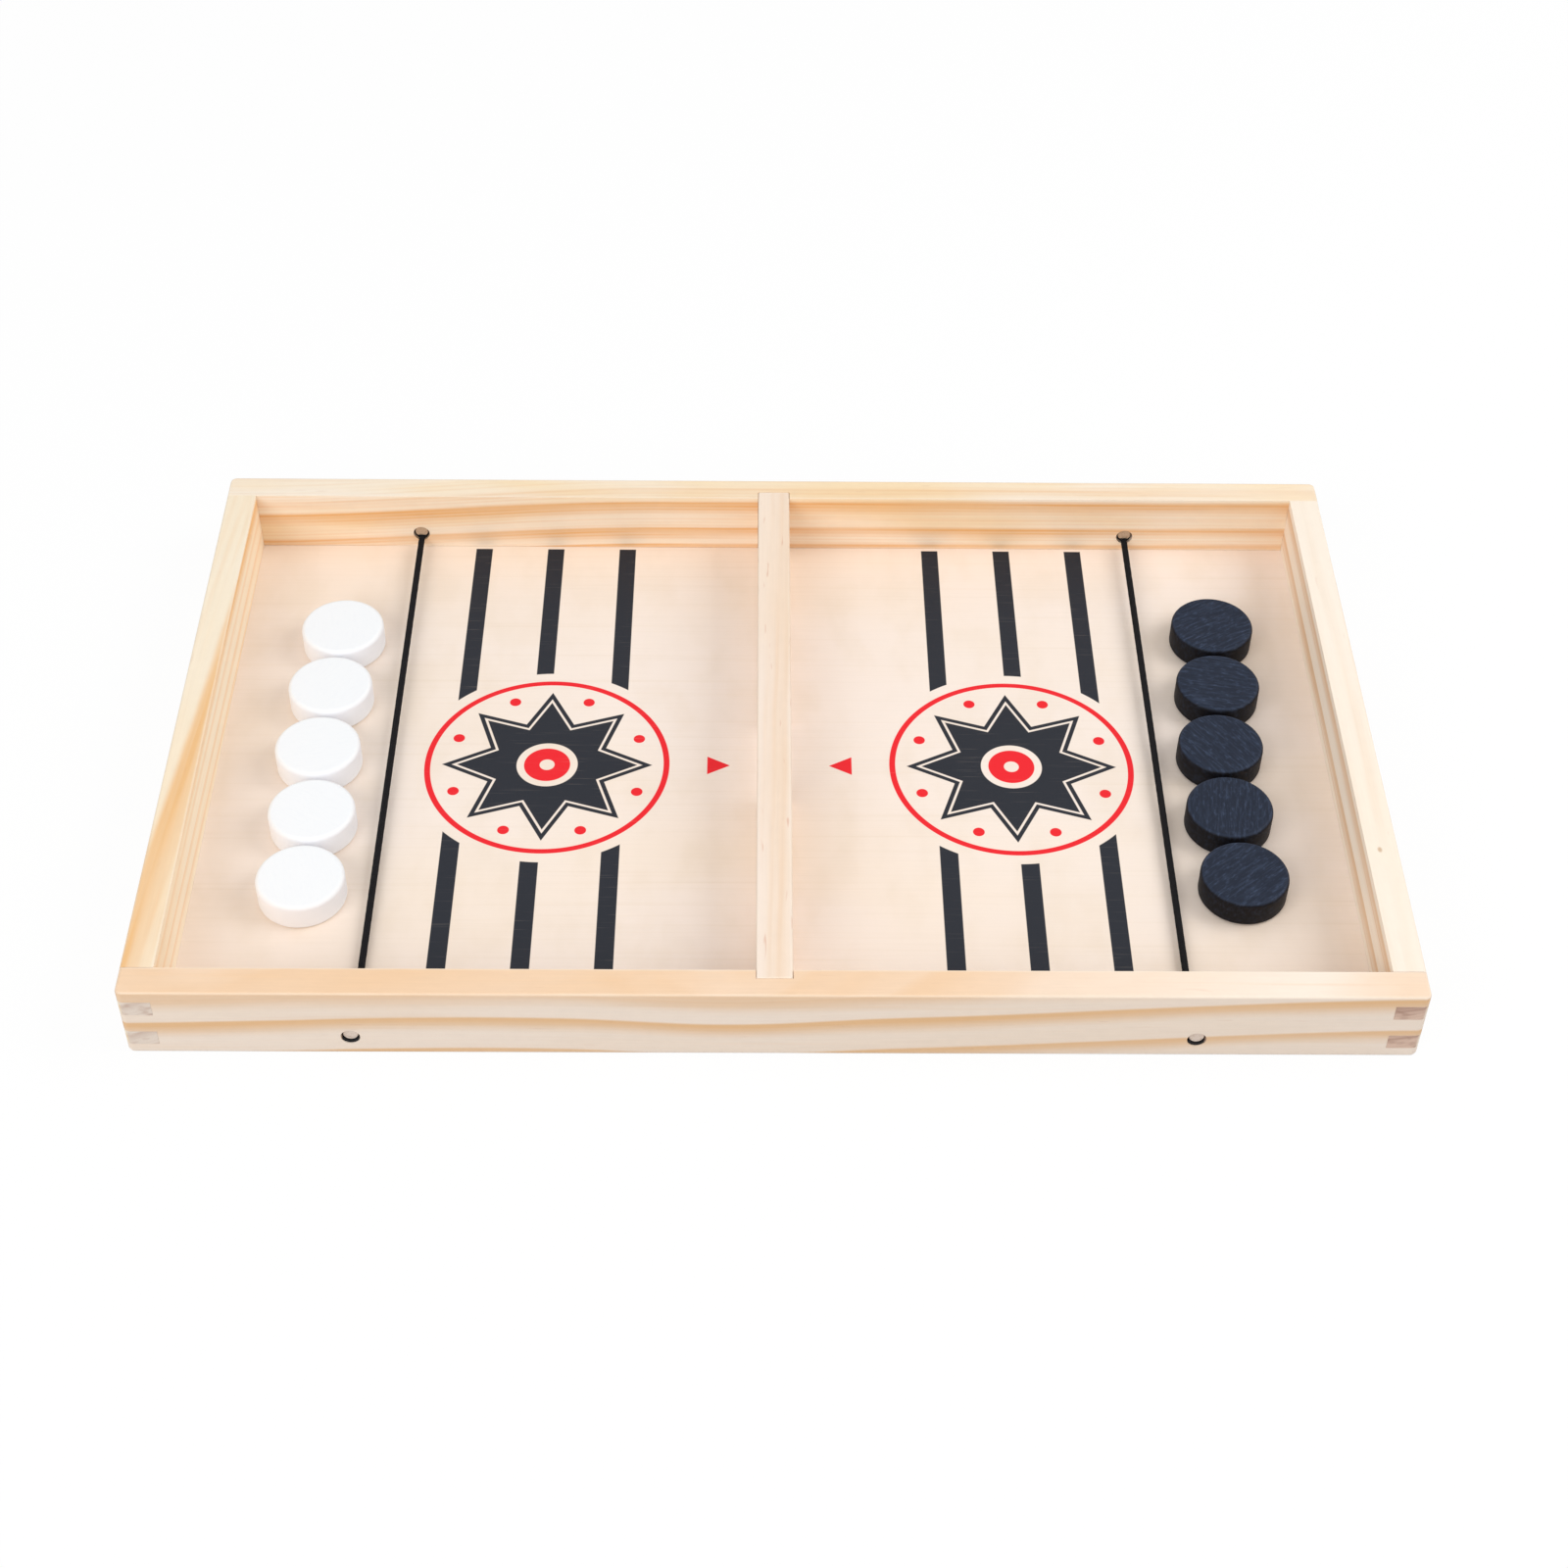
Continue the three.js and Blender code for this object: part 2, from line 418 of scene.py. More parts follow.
@dataclass(frozen=True)
class SawnWood:
    """Bare sanded softwood, its growth rings laid as the saw left them in one plank."""

    name: str
    grain: Grain
    rings: tuple[Ring, ...]
    species: str = "pine"
    seed: float = 0.0

    # How the rings lie
    face: float = 0.0
    lean: float = 0.0
    climb: float = 0.0
    swells: tuple[Swell, ...] = ()
    skims: tuple[Skim, ...] = ()
    knots: tuple[PinKnot, ...] = ()
    wander: float = 0.5 * MM
    sharp: float = 1.1 * MM
    slow: Pattern = Pattern((7, 12, 12), 1.5)
    quick: Pattern = Pattern((45, 90, 90))
    slow_sway: float = 4.0
    quick_sway: float = 0.6
    patches: Pattern = Pattern((11, 5.3, 1), 1.0, seeded=1)
    fade_spread: Span = (0.6, 0.8)
    fade_start: float = 0.12
    strength_spread: Span = (0.75, 0.5)
    skim_spread: Span = (0.7, 0.6)
    fine_pitch: float = 1.3 * MM
    fine_sway: float = 2.0
    fine_rise: Span = (0.2, 0.6)
    fine_fall: Span = (0.7, 1.0)
    fine_in_pale: float = 0.8
    fine_share: float = 0.2
    breaks: Pattern = Pattern((16, 500, 1), 1.0, low=0.3, high=0.7)

    # What colours it
    pale: str = "#FAEAD6"
    warm: str = "#F8DDBB"
    band: str = "#E6B985"
    fleck: str = "#CF9678"
    knot_heart: str = "#C9A47C"
    cut_end: str = "#EFDAC6"
    # Dark colour of the cut ends: their late wood, and the painted shade of the finger joints' recesses
    end_dark_and_shade: str = "#B98F79"
    # Colour of the paler sanded edges, which also carries a painted highlight along every arris
    sanded_edge_highlight: str = "#FFF3E0"
    fibres: Pattern = Pattern((50, 1500, 1500), 3.0)
    blotches: Pattern = Pattern((12, 60, 60), low=0.35, high=0.7)
    streaks: Pattern = Pattern((10, 380, 380), low=0.56, high=0.8, seeded=1)
    flecks: Pattern = Pattern((110, 700, 700), 1.0, low=0.69, high=0.82, seeded=2)
    mottle: Pattern = Pattern((260, 420, 420), seeded=2)
    # Blotches of painted shade on the cut ends, standing in for the shade in the joints' recesses
    shade_blotches: Pattern = Pattern((260, 260, 420), 1.0, low=0.5, high=0.72)
    pores: Pattern = Pattern((1 / (0.28 * MM),) * 3)
    warm_share: float = 0.5
    streak_share: float = 0.2
    fleck_share: float = 0.12
    knot_share: float = 0.7
    late_pit_share: float = 0.7
    shade_blotch_share: float = 0.35
    edge_highlight_share: float = 0.4
    tone: float = 0.94
    tone_shares: Span = (0.07, 0.05)
    end_spread: Span = (0.92, 0.16)

    # Its surface
    arris_width: float = 0.8 * MM
    arris_spread: Span = (0.4, 1.0)
    arris_fall: Span = (0.2, 1.0)
    rag: Pattern = Pattern((90, 90, 90))
    top_facing: Span = (0.5, 0.9)
    cut_facing: Span = (0.72, 0.95)
    relief: float = 0.03 * MM
    relief_shares: Point = (0.6, 0.4, 0.8)
    rough: float = 0.62
    rough_shares: Point = (0.12, -0.06, 0.15)
    shine: float = 0.3

    def late_wood(self, tree: Tree, lie: Sequence[Value]) -> Value:
        """Works out how much dark late wood there is at a point.

        Args:
            tree: The material's tree.
            lie: The point: distances along and across the fibres, and its height.

        Returns:
            The share of late wood, from nought to one.
        """
        along, across, up = lie
        slow = self.slow.read(tree, lie, self.seed)
        quick = self.quick.read(tree, lie, self.seed)
        sway = (slow - 0.5) * (self.slow_sway * self.wander)
        lift = along * self.climb + sway + (quick - 0.5) * (self.quick_sway * self.wander)
        for swell in self.swells:
            bump = 1 - (abs(along - swell.middle) / swell.reach).rise(0.0, 1.0)
            lift = lift + bump * swell.height
        level = up + (across - self.face) * math.tan(self.lean) - lift
        late: Number = 0.0
        for number, ring in enumerate(self.rings):
            patch = self.patches.read(tree, (along, number, 0.0), self.seed)
            below = ring.level - level
            faded = (below / (patch.vary(*self.fade_spread) * ring.fade)).rise(self.fade_start, 1.0)
            strength = patch.vary(*self.strength_spread) * ring.strength
            late = (below.rise(0.0, self.sharp) * (1 - faded) * strength).most(late)
        for skim in self.skims:
            spot = along + (slow - 0.5) * (self.slow_sway * skim.fade)
            begun = spot.rise(skim.start - skim.fade, skim.start + skim.fade)
            ended = spot.rise(skim.end - skim.fade, skim.end + skim.fade)
            on_top = up.rise(skim.above, skim.above + self.arris_width)
            late = late.most(begun * (1 - ended) * on_top * (quick.vary(*self.skim_spread) * skim.strength))
        fine = (level / self.fine_pitch + slow * self.fine_sway) % 1.0
        lines = fine.rise(*self.fine_rise) * (1 - fine.rise(*self.fine_fall))
        lines = lines * self.breaks.mask(tree, (along, level, 0.0), self.seed)
        return (late + lines * (late + self.fine_in_pale) * self.fine_share).least(1.0)

    def arris(self, tree: Tree, place: Sequence[Value], low: Vector, high: Vector) -> Value:
        """Finds the plank's edges, from how near the second nearest side of its box is.

        Args:
            tree: The material's tree.
            place: The point.
            low: The plank's lowest corner.
            high: The plank's highest corner.

        Returns:
            One on an edge, falling to nought one arris width away.
        """
        rooms = [(h - l) / 2 - abs(part - (h + l) / 2) for part, l, h in zip(place, low, high)]
        nearest = rooms[0].least(rooms[1]).least(rooms[2])
        farthest = rooms[0].most(rooms[1]).most(rooms[2])
        second = rooms[0] + rooms[1] + rooms[2] - nearest - farthest
        width = self.rag.read(tree, place).vary(*self.arris_spread) * self.arris_width
        return 1 - (second / width).rise(*self.arris_fall)

    def material(self, low: Vector, high: Vector) -> Material:
        """Builds the material for a plank that fills a box.

        Args:
            low: The plank's lowest corner.
            high: The plank's highest corner.

        Returns:
            The material, with paler sanded edges carrying a painted highlight, and speckled cut ends with
            blotches of painted shade.
        """
        tree = Surface(f"{self.name}_{self.species}")
        x, y, z = place = tree.place()
        facing = tree.facing()
        lie = (x, y, z) if self.grain is Grain.ALONG_TRAY else (y, x, z)
        late = self.late_wood(tree, lie)
        fibre = self.fibres.read(tree, lie)
        spots = [knot.mask(x, y) * facing[2].rise(*self.top_facing) for knot in self.knots]
        paint = tree.coat(
            colour(self.pale),
            (self.blotches.mask(tree, lie, self.seed) * self.warm_share, self.warm),
            (late, self.band),
            (self.streaks.mask(tree, lie, self.seed) * self.streak_share, self.band),
            (self.flecks.mask(tree, lie, self.seed) * self.fleck_share, self.fleck),
            *((spot * self.knot_share, self.knot_heart) for spot in spots),
        )
        mottle = self.mottle.read(tree, lie, self.seed)
        paint = tree.shade(paint, weigh((fibre, mottle), self.tone_shares, self.tone))
        cut = abs(facing[self.grain.value]).rise(*self.cut_facing)
        pores = self.pores.read(tree, place)
        end_paint = tree.coat(
            colour(self.cut_end),
            (late * self.late_pit_share, self.end_dark_and_shade),
            # Painted shade: dark blotches on the cut ends, where the finger joints' recesses would be shaded
            (self.shade_blotches.mask(tree, place, self.seed) * self.shade_blotch_share, self.end_dark_and_shade),
        )
        paint = tree.mix(cut, paint, tree.shade(end_paint, pores.vary(*self.end_spread)))
        # Paler sanded edges with a painted highlight, along every arris of the plank's box and off the cut
        # ends
        edge = self.arris(tree, place, low, high) * (1 - cut)
        paint = tree.coat(paint, (edge * self.edge_highlight_share, self.sanded_edge_highlight))
        height = weigh((fibre, late, pores * cut), self.relief_shares)
        rough = weigh((fibre, late, cut), self.rough_shares, self.rough)
        return tree.finish(paint, rough, height, self.relief, self.shine)


@dataclass(frozen=True)
class PrintedPlywood:
    """Pale plywood with stripes, a ring with a star in it and two small triangles printed on top."""

    name: str = "printed_plywood"
    pale: str = "#FDEFE4"
    warm: str = "#FBE8D1"
    line: str = "#EAD6BC"
    charcoal: str = "#262931"
    red: str = "#F3252F"

    # The print
    shift: Span = (1.7 * MM, -1.2 * MM)
    ring_out: float = 68.5 * MM
    ring_radius: float = 35.2 * MM
    ring_line: float = 1.75 * MM
    stripe_out: float = 71.35 * MM
    stripe_pitch: float = 22.95 * MM
    stripe_width: float = 5.25 * MM
    stripe_clear: float = 39.5 * MM
    stripe_end: float = 97.3 * MM
    stripe_count: int = 3
    point_base: float = 21.3 * MM
    point_tip: float = 14.6 * MM
    point_height: float = 7.4 * MM
    star_points: int = 8
    star_tip: float = 31 * MM
    star_valley: float = 18.5 * MM
    inline: Span = (1.3 * MM, 2.0 * MM)
    roundel: float = 9 * MM
    disc: float = 6.8 * MM
    eye: float = 2.2 * MM
    dot_out: float = 29 * MM
    dot: float = 1.7 * MM
    soft: float = 0.1 * MM
    soft_step: float = 0.01

    # The veneer
    fibres: Pattern = Pattern((60, 2400, 900), 3.0, low=0.6, high=0.85)
    lines: Pattern = Pattern((8, 900, 1), low=0.5, high=0.9, seeded=2, start=0.3)
    figure: Pattern = Pattern((85, 45, 1), 3.0, low=0.4, high=0.75, seeded=2, start=1.7)
    blotches: Pattern = Pattern((7, 16, 1), 3.0, low=0.35, high=0.75, seeded=2, start=5.2)
    warm_share: float = 0.5
    line_share: float = 0.25
    figure_share: float = 0.22
    thin_share: float = 0.12
    tone_spread: Span = (0.965, 0.05)
    top_facing: Span = (0.5, 0.9)
    relief: float = 0.015 * MM
    relief_shares: Point = (0.5, 0.3, 0.2)
    rough: float = 0.46
    rough_shares: Span = (0.08, 0.06)
    shine: float = 0.2

    def stripes(self, out: Value, y: Value, radius: Value) -> Value:
        """Masks the stripes of one court, which stop short of the ring and of the rails.

        Args:
            out: Distance from the board's middle, away from the divider.
            y: Distance towards the back rail.
            radius: Distance from the ring's centre.

        Returns:
            One on the stripes.
        """
        steps = (out - self.stripe_out) / self.stripe_pitch
        off_line = abs((steps + 0.5) % 1.0 - 0.5) * self.stripe_pitch
        bars = off_line.under(self.stripe_width / 2, self.soft)
        inside = abs(steps).under(self.stripe_count / 2, self.soft_step)
        inside = inside * abs(y).under(self.stripe_end, self.soft)
        return bars * inside * (1 - radius.under(self.stripe_clear, self.soft))

    def star(self, tree: Tree, out: Value, back: Value, radius: Value) -> tuple[Value, Value]:
        """Masks the star and what is red round and inside it.

        Args:
            tree: The material's tree.
            out: Distance from the ring's centre, away from the divider.
            back: Distance from the ring's centre, towards the back.
            radius: Distance from the ring's centre.

        Returns:
            The charcoal mask and the red mask.
        """
        half = math.pi / self.star_points
        angle = tree.math("ARCTAN2", back, out)
        fold = abs((angle + half) % (2 * half) - half)
        east = radius * fold.cosine()
        north = radius * fold.sine()
        side = Vector((self.star_valley * math.cos(half) - self.star_tip, self.star_valley * math.sin(half)))
        normal = Vector((side.y, -side.x)).normalized()
        past = east * normal.x + north * normal.y - self.star_tip * normal.x
        near, far = self.inline
        line = past.under(-near, self.soft) * (1 - past.under(-far, self.soft))
        charcoal = past.under(0.0, self.soft) * (1 - line) * (1 - radius.under(self.roundel, self.soft))
        aside = east - self.dot_out * math.cos(half)
        above = north - self.dot_out * math.sin(half)
        dots = (aside * aside + above * above).root().under(self.dot, self.soft)
        disc = radius.under(self.disc, self.soft) * (1 - radius.under(self.eye, self.soft))
        ring = abs(radius - self.ring_radius).under(self.ring_line / 2, self.soft)
        return charcoal, ring.most(dots).most(disc)

    def triangle(self, out: Value, back: Value) -> Value:
        """Masks the small triangle that points at the gate.

        Args:
            out: Distance from the board's middle, away from the divider.
            back: Distance towards the back, from the line that the triangle points along.

        Returns:
            One on the triangle.
        """
        slope = self.point_height / 2 / (self.point_base - self.point_tip)
        sides = abs(back).under((out - self.point_tip) * slope, self.soft)
        return sides * out.under(self.point_base, self.soft)

    def material(self) -> Material:
        """Builds the plywood's material with its print.

        Returns:
            The material, printed on its top only.
        """
        tree = Surface(self.name)
        x, y, z = tree.place()
        top = tree.facing()[2].rise(*self.top_facing)
        out = abs(x - self.shift[0])
        back = y - self.shift[1]
        from_ring = out - self.ring_out
        radius = (from_ring * from_ring + back * back).root()
        star, red = self.star(tree, from_ring, back, radius)
        dark = self.stripes(out, y, radius).most(star)
        red = red.most(self.triangle(out, back))
        fibre = self.fibres.read(tree, (x, y, z))
        line = self.lines.read(tree, (x, y, 0.0))
        paint = tree.coat(
            colour(self.pale),
            (self.blotches.mask(tree, (x, y, 0.0)) * self.warm_share, self.warm),
            (self.lines.cut(line) * self.line_share, self.line),
            (self.figure.mask(tree, (x, y, 0.0)) * self.figure_share, self.line),
        )
        paint = tree.shade(paint, fibre.vary(*self.tone_spread))
        cover = (1 - self.fibres.cut(fibre) * self.thin_share) * top
        paint = tree.coat(paint, (dark * cover, self.charcoal), (red * cover, self.red))
        ink = dark.most(red) * top
        height = weigh((fibre, line, ink), self.relief_shares)
        rough = weigh((fibre, ink), self.rough_shares, self.rough)
        return tree.finish(paint, rough, height, self.relief, self.shine)


@dataclass(frozen=True)
class PaintedWood:
    """Thin satin paint on a small turned disc, mottled, with the grain faintly telling through it and a
    painted highlight round its rim.
    """

    name: str
    top: str
    side: str
    mottle: str
    mottle_share: float
    # Colour and share of the painted highlight round the rim
    rim: str
    rim_highlight_share: float
    rough: float
    shine: float

    fibres: Pattern = Pattern((130, 1300, 700), 3.0, low=0.45, high=0.75, rough=0.6)
    patches: Pattern = Pattern((420, 1000, 600), 3.0, low=0.5, high=0.72, rough=0.6)
    clouds: Pattern = Pattern((90, 130, 120))
    fibre_spread: Span = (0.35, 0.7)
    patch_share: float = 0.7
    telling_spread: Span = (0.3, 0.7)
    level_facing: Span = (0.35, 0.85)
    rim_highlight_facing: Span = (0.55, 0.8)
    flat_facing: Span = (0.93, 0.995)
    rim_highlight_spread: Span = (0.5, 0.8)
    relief: float = 0.03 * MM
    relief_shares: Span = (0.5, 0.5)
    rough_shares: Span = (0.12, -0.05)

    def material(self) -> Material:
        """Builds the paint, which follows each puck's own grain.

        Returns:
            The material, with a painted highlight round the rims.
        """
        tree = Surface(self.name)
        grain = tree.node("ShaderNodeAttribute", attribute_name="grain")
        place = tree.parts(grain.outputs["Vector"])
        up = abs(tree.facing()[2])
        fibre = self.fibres.read(tree, place)
        patch = self.patches.read(tree, place)
        cloud = self.clouds.read(tree, place)
        level = up.rise(*self.level_facing)
        telling = self.fibres.cut(fibre) * cloud.vary(*self.fibre_spread)
        telling = telling + self.patches.cut(patch) * self.patch_share
        # Painted highlight: lighter paint on the rim, where it turns from the top to the side
        rim_highlight = up.rise(*self.rim_highlight_facing) * (1 - up.rise(*self.flat_facing))
        paint = tree.coat(
            colour(self.side),
            (level, self.top),
            (telling * level.vary(*self.telling_spread) * self.mottle_share, self.mottle),
            (rim_highlight * patch.vary(*self.rim_highlight_spread) * self.rim_highlight_share, self.rim),
        )
        height = weigh((fibre, patch), self.relief_shares)
        rough = weigh((patch, cloud), self.rough_shares, self.rough)
        return tree.finish(paint, rough, height, self.relief, self.shine)


@dataclass(frozen=True)
class DowelEnd:
    """A small hardwood dowel, cut across, with its cells showing, and its side and chamfered rim darkened as
    painted shade.
    """

    name: str
    pale: str
    dark: str
    pores: Pattern = Pattern((1 / (0.3 * MM), 300, 1 / (0.3 * MM)), low=0.45, high=0.75)
    clouds: Pattern = Pattern((700, 60, 700), 1.0, low=0.5, high=0.8)
    dark_share: float = 0.5
    # Painted shade on the side and chamfered rim, which sit down in the hole
    cut_facing: Span = (0.6, 0.95)
    tone_spread: Span = (0.72, 0.28)
    relief: float = 0.06 * MM
    rough: float = 0.78
    shine: float = 0.25

    def material(self) -> Material:
        """Builds the dowel's material.

        Returns:
            The material, with painted shade on its side and chamfered rim, where the dowel isn't cut across.
        """
        tree = Surface(self.name)
        place = tree.place()
        pores = self.pores.read(tree, place)
        masks = (self.pores.cut(pores), self.clouds.mask(tree, place))
        paint = tree.coat(colour(self.pale), *((mask * self.dark_share, self.dark) for mask in masks))
        # Painted shade: the side and chamfered rim, sunk in the hole, are darkened
        cut = abs(tree.facing()[1]).rise(*self.cut_facing)
        paint = tree.shade(paint, cut.vary(*self.tone_spread))
        return tree.finish(paint, self.rough, pores, self.relief, self.shine)


@dataclass(frozen=True)
class ElasticSheath:
    """Matte black braided sheath, a little dusty on its crowns."""

    name: str = "elastic_sheath"
    black: str = "#09080C"
    dust: str = "#1F1E25"
    fibres: Pattern = Pattern((6000, 2500, 6000), low=0.45, high=0.8)
    clouds: Pattern = Pattern((300, 60, 300), low=0.3, high=0.8)
    rough_spread: Span = (0.72, 0.2)
    relief: float = 0.02 * MM
    shine: float = 0.3

    def material(self) -> Material:
        """Builds the sheath's material.

        Returns:
            The material.
        """
        tree = Surface(self.name)
        place = tree.place()
        fibre = self.fibres.read(tree, place)
        dusty = self.fibres.cut(fibre) * self.clouds.mask(tree, place)
        paint = tree.coat(colour(self.black), (dusty, self.dust))
        return tree.finish(paint, fibre.vary(*self.rough_spread), fibre, self.relief, self.shine)


# Meshes


def add_object(name: str, mesh: bpy.types.Mesh) -> Piece:
    """Puts a mesh into the scene as an object at the origin.

    Args:
        name: The object's name.
        mesh: The mesh.

    Returns:
        The object.
    """
    thing = bpy.data.objects.new(name, mesh)
    bpy.context.scene.collection.objects.link(thing)
    return thing


def release(work: bmesh.types.BMesh, name: str) -> Piece:
    """Turns working geometry into an object, and frees it.

    Args:
        work: The working geometry.
        name: The object's name.

    Returns:
        The object.
    """
    mesh = bpy.data.meshes.new(name)
    work.to_mesh(mesh)
    work.free()
    return add_object(name, mesh)


def settle(thing: Piece) -> Piece:
    """Bakes an object's modifiers into its mesh and removes them.

    Args:
        thing: The object, with its modifiers live.

    Returns:
        The same object with a plain mesh.
    """
    view = bpy.context.evaluated_depsgraph_get()
    done = bpy.data.meshes.new_from_object(thing.evaluated_get(view), depsgraph=view)
    done.name = thing.name
    thing.modifiers.clear()
    thing.data = done
    return thing


def dress(piece: Piece, material: Material, slot: str, *replaced: str) -> None:
    """Gives a piece its material and hides the solids that it stands for.

    Args:
        piece: The piece.
        material: Its material.
        slot: Not used.
        replaced: The solids' nodes.
    """
    piece.data.materials.clear()
    piece.data.materials.append(material)
    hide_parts(*replaced)


def report(piece: Piece, body: str) -> None:
    """Says what was made."""
    log.info("%s: %d faces, on %s", piece.name, len(piece.data.polygons), body)


def fix(piece: Piece, body: str = BODY) -> None:
    """Sets a finished piece on a body and says so."""
    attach(piece, body)
    report(piece, body)


@dataclass
class CarvedWood:
    """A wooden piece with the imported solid's own shape, its sharp edges eased by sanding."""

    node: str
    name: str
    ease: float
    steps: int = 3
    roundness: float = 0.5
    flat_limit: float = math.radians(0.6)
    square: float = 0.999
    crease: float = math.radians(50)
    shading_weight: int = 80

    def squared(self, edge: bmesh.types.BMEdge) -> bool:
        """Tells whether an edge is where two of the piece's square faces meet.

        Args:
            edge: The edge.

        Returns:
            Whether it is.
        """
        if len(edge.link_faces) != 2:
            return False
        normals = [face.normal for face in edge.link_faces]
        aligned = [max(abs(part) for part in normal) > self.square for normal in normals]
        return all(aligned) and abs(normals[0].dot(normals[1])) < 1 - self.square

    def build(self, keep: Callable[[Vector], bool] | None = None) -> Piece:
        """Copies the solid, welds it and eases its square edges.

        Args:
            keep: Tells, from an edge's middle, whether the edge stays sharp.

        Returns:
            The piece, with no material yet.
        """
        work = bmesh.new()
        work.from_mesh(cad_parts[self.node].data)
        bmesh.ops.remove_doubles(work, verts=work.verts, dist=WELD)
        bmesh.ops.dissolve_limit(work, angle_limit=self.flat_limit, verts=work.verts, edges=work.edges)
        work.normal_update()
        edges = [edge for edge in work.edges if self.squared(edge)]
        if keep is not None:
            edges = [edge for edge in edges if not keep((edge.verts[0].co + edge.verts[1].co) / 2)]
        bmesh.ops.bevel(
            work,
            geom=edges,
            offset=self.ease,
            segments=self.steps,
            profile=self.roundness,
            affect="EDGES",
            clamp_overlap=True,
        )
        for face in work.faces:
            face.smooth = True
        for edge in work.edges:
            edge.smooth = len(edge.link_faces) == 2 and edge.calc_face_angle() < self.crease
        piece = release(work, self.name)
        weighted = piece.modifiers.new("even_shading", "WEIGHTED_NORMAL")
        weighted.keep_sharp = True
        weighted.weight = self.shading_weight
        return settle(piece)


def lofted(name: str, sections: Sequence[Sequence[Vector]]) -> Piece:
    """Skins a run of closed sections and caps its two ends.

    Args:
        name: The piece's name.
        sections: Loops of as many points each.

    Returns:
        A closed piece with its faces pointing out.
    """
    work = bmesh.new()
    loops = [[work.verts.new(point) for point in section] for section in sections]
    for here, there in zip(loops, loops[1:]):
        for i in range(len(here)):
            face = work.faces.new((here[i - 1], here[i], there[i], there[i - 1]))
            face.smooth = True
    for cap in (loops[0], loops[-1]):
        work.faces.new(cap)
    bmesh.ops.recalc_face_normals(work, faces=work.faces)
    return release(work, name)


def polyline(name: str, points: Sequence[Vector]) -> bpy.types.Mesh:
    """Makes a mesh of points joined by edges in order.

    Args:
        name: The mesh's name.
        points: The points.

    Returns:
        The mesh.
    """
    mesh = bpy.data.meshes.new(name)
    mesh.from_pydata([tuple(p) for p in points], [(i, i + 1) for i in range(len(points) - 1)], [])
    return mesh


def on_circle(centre: Vector, reach: float, angle: float, y: float) -> Vector:
    """Finds a point of an upright circle that faces along Y, at an angle from +X towards +Z."""
    return Vector((centre.x + reach * math.cos(angle), y, centre.z + reach * math.sin(angle)))


# Wooden pieces


@dataclass
class Tray:
    """The four rails, finger jointed at the corners."""

    easing: float = 0.4 * MM
    corner: float = 5 * MM
    rails: tuple[SawnWood, ...] = (
        SawnWood(
            "front_rail",
            Grain.ALONG_TRAY,
            rings((26.0, 10.0, 0.7), (23.8, 6.5, 0.65), (14.3, 7.2, 1.0), (1.8, 6.0, 0.9)),
            swells=swells((-182, 82, -2.0), (-74, 60, 0.9), (-12, 45, -1.6), (185, 190, 9.8)),
            skims=(Skim(-250 * MM, 52 * MM, 0.62, fade=38 * MM), Skim(150 * MM, 200 * MM, 0.4)),
            face=-107.5 * MM,
            lean=math.radians(4),
            wander=0.4 * MM,
            fine_share=0.04,
            seed=2.3,
            pale="#FFEFE0",
            warm="#FCE8D3",
            band="#F2C696",
        ),
        SawnWood(
            "back_rail",
            Grain.ALONG_TRAY,
            rings(
                (28.4, 6.0, 0.25),
                (23.9, 70, 0.13),
                (23.4, 8.5, 0.75),
                (16.8, 2.6, 0.38),
                (13.0, 7.5, 0.72),
                (6.2, 5.0, 0.7),
            ),
            swells=swells((-170, 135, -6.3)),
            face=98.5 * MM,
            lean=math.radians(35),
            wander=0.4 * MM,
            sharp=1.5 * MM,
            seed=7.9,
            pale="#FDEFDC",
            warm="#FCE1B6",
            band="#ECB272",
            warm_share=0.85,
        ),
        SawnWood(
            "left_rail",
            Grain.ACROSS_TRAY,
            rings((26.1, 6.5, 0.9), (19.4, 3.8, 0.4), (13.3, 4.0, 0.45), (7.4, 3.6, 0.45), (1.4, 2.8, 0.4)),
            climb=-0.03,
            face=-163.5 * MM,
            lean=math.radians(-22),
            wander=0.4 * MM,
            sharp=1.0 * MM,
            seed=4.4,
            pale="#FDEFD8",
            warm="#FCE6C4",
            band="#F3C38A",
            cut_end="#F3E4D6",
        ),
        SawnWood(
            "right_rail",
            Grain.ACROSS_TRAY,
            rings((21.8, 7.0, 0.8), (18.8, 1.8, 1.0), (11.6, 6.5, 0.85), (7.4, 1.8, 0.8)),
            knots=(PinKnot(167.2 * MM, -53.9 * MM),),
            face=163.5 * MM,
            lean=math.radians(-12),
            wander=0.25 * MM,
            sharp=0.8 * MM,
            seed=11.2,
            pale="#FDF1E2",
            warm="#FDECD6",
            band="#E8C39D",
            cut_end="#E8C9B6",
            # Darker end colour: late wood, and the painted shade across the tops of this rail's finger ends
            end_dark_and_shade="#9A6E5C",
            warm_share=0.4,
        ),
    )

    def build(self) -> None:
        """Makes the rails and sets them on the tray."""
        for wood in self.rails:
            piece = CarvedWood(wood.name, f"sanded_{wood.name}", self.easing).build(self.in_a_corner)
            dress(piece, wood.material(*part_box(wood.name)), "rail_wood", wood.name)
            fix(piece)

    def in_a_corner(self, middle: Vector) -> bool:
        """Tells whether an edge belongs to the finger joints, which are glued before they are sanded."""
        _, board_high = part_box("playing_board")
        return abs(middle.x) > board_high.x - self.corner and abs(middle.y) > board_high.y - self.corner


@dataclass
class PlayingBoard:
    """The printed plywood board."""

    easing: float = 0.15 * MM
    steps: int = 2
    finish: PrintedPlywood = PrintedPlywood()

    def build(self) -> None:
        """Makes the board and lets it into the tray."""
        piece = CarvedWood("playing_board", "printed_board", self.easing, self.steps).build()
        dress(piece, self.finish.material(), "board_plywood", "playing_board")
        fix(piece)


